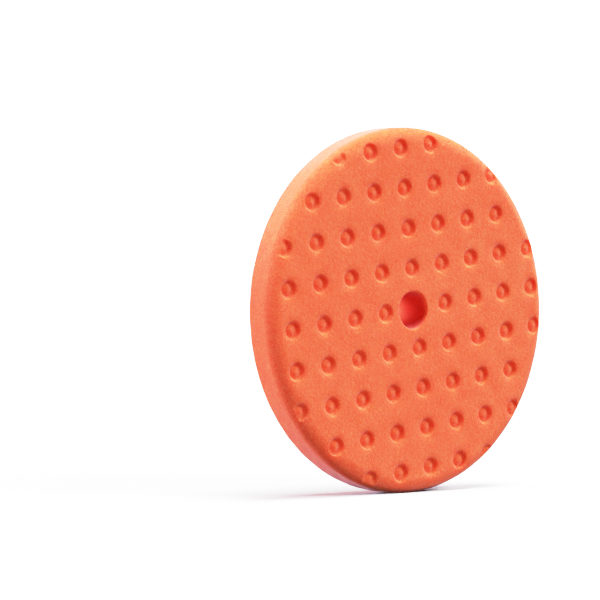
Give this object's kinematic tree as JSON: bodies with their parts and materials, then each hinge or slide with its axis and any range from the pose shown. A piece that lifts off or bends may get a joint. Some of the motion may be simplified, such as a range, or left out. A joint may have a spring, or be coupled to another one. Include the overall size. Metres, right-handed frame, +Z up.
{
  "type": "polishing pad",
  "caption": "Round foam polishing pad with a dimpled working face, rounded front edge, bevelled back, centre hole and hook-and-loop backing.",
  "frame": {"origin": "centre of the loop face, on the pad's axis", "axes": "the pad stands on its edge: +Z up, the pad's axis along Y, the loop face looks along +Y and the dimpled working face along -Y"},
  "size_m": [0.165, 0.0254, 0.165],
  "materials": {
    "foam": "matte",
    "adhesive": "satin",
    "coating": "satin",
    "ground_cloth": "matte",
    "loops": "matte"
  },
  "bodies": {
    "root": {"foam_disc": "foam", "adhesive_film": "adhesive", "back_coating": "coating", "loop_base_cloth": "ground_cloth", "loop_pile": "loops"}
  },
  "joints": []
}
